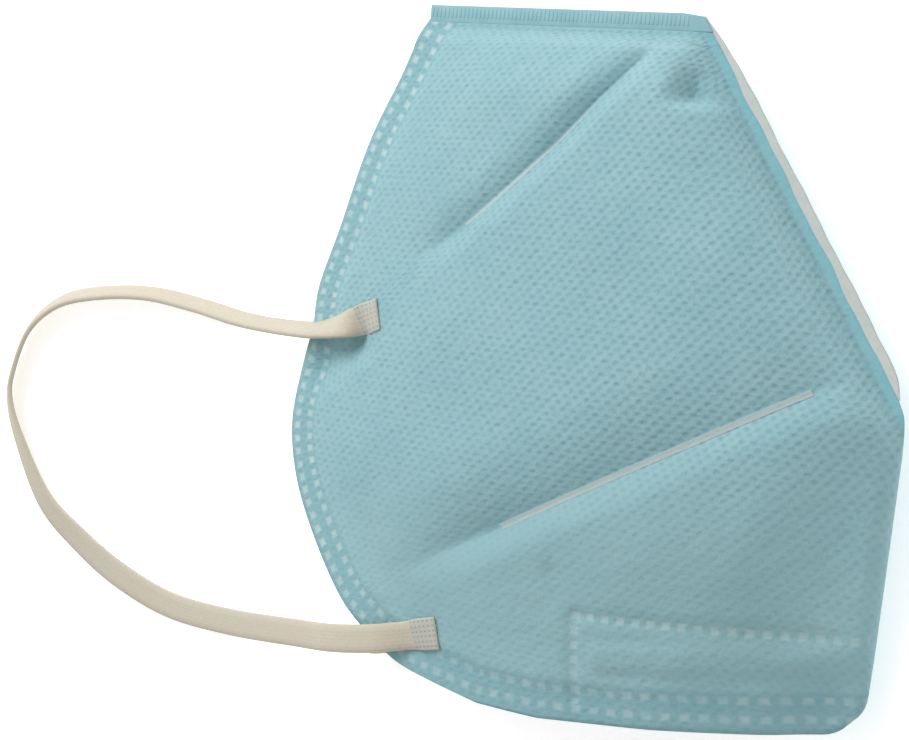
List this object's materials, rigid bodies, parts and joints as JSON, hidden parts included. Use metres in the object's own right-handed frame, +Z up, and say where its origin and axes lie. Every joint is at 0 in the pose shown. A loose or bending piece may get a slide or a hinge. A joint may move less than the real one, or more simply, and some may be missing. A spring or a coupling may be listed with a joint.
{
  "type": "disposable respirator",
  "caption": "Flat-fold disposable respirator in embossed non-woven cloth with ear loops and a nose wire, lying relaxed on its side with its mouth slightly open.",
  "frame": {"origin": "under the middle of the folded mask, on the surface it lies on; the ear loops are left out", "axes": "+Z up from the surface through both panels, +X towards the front fold and the seam's point, +Y towards the chin"},
  "size_m": [0.1823, 0.1191, 0.0233],
  "materials": {
    "outer_cloth": "matte light blue spunbond non-woven with a fine dotted emboss",
    "inner_cloth": "matte white non-woven filter and lining",
    "nose_wire_metal": "soft flat strip, satin",
    "elastic": "matte cream flat knitted elastic"
  },
  "bodies": {
    "root": {"outer_shell": "outer_cloth", "inner_lining": "inner_cloth", "nose_wire": "nose_wire_metal", "ear_loop_near": "elastic", "ear_loop_far": "elastic"}
  },
  "joints": []
}
